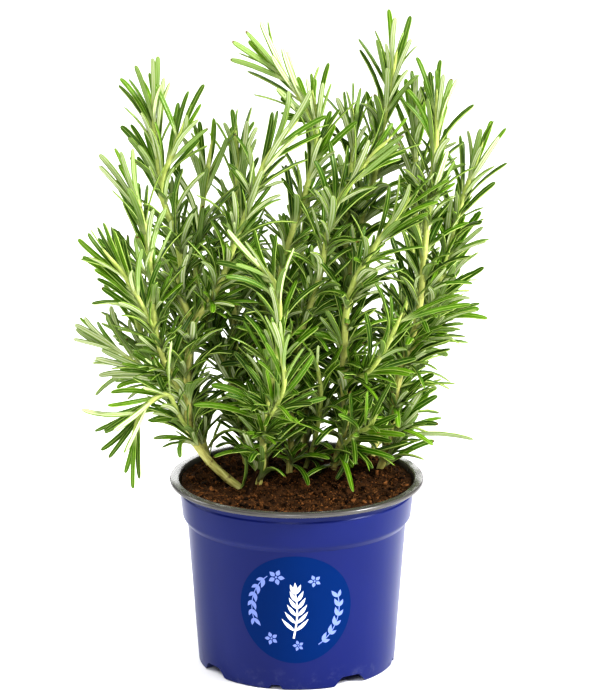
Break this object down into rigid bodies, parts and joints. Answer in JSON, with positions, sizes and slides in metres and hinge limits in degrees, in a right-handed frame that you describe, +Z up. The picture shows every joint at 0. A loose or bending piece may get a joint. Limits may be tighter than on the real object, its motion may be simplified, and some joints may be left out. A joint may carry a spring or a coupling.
{
  "type": "potted rosemary plant",
  "caption": "Rosemary plant with needle-leaved shoots growing from soil in a round blue plastic nursery pot.",
  "frame": {"origin": "middle of the pot's flat underside, on the face it rests on", "axes": "+Z up along the pot's axis, -Y towards the front of the pot"},
  "size_m": [0.2202, 0.1722, 0.3373],
  "materials": {
    "pot_plastic": "glossy",
    "potting_soil": "loose and matt",
    "foliage": "satin"
  },
  "bodies": {
    "root": {"pot": "pot_plastic", "soil": "potting_soil", "stem_left": "foliage", "stem_front": "foliage", "stem_centre": "foliage", "stem_leaning": "foliage", "stem_right": "foliage", "stem_tall": "foliage", "stem_far_right": "foliage", "stem_back_left": "foliage", "stem_back": "foliage", "stem_back_right": "foliage", "stem_far_left": "foliage", "stem_sprout": "foliage"}
  },
  "joints": []
}
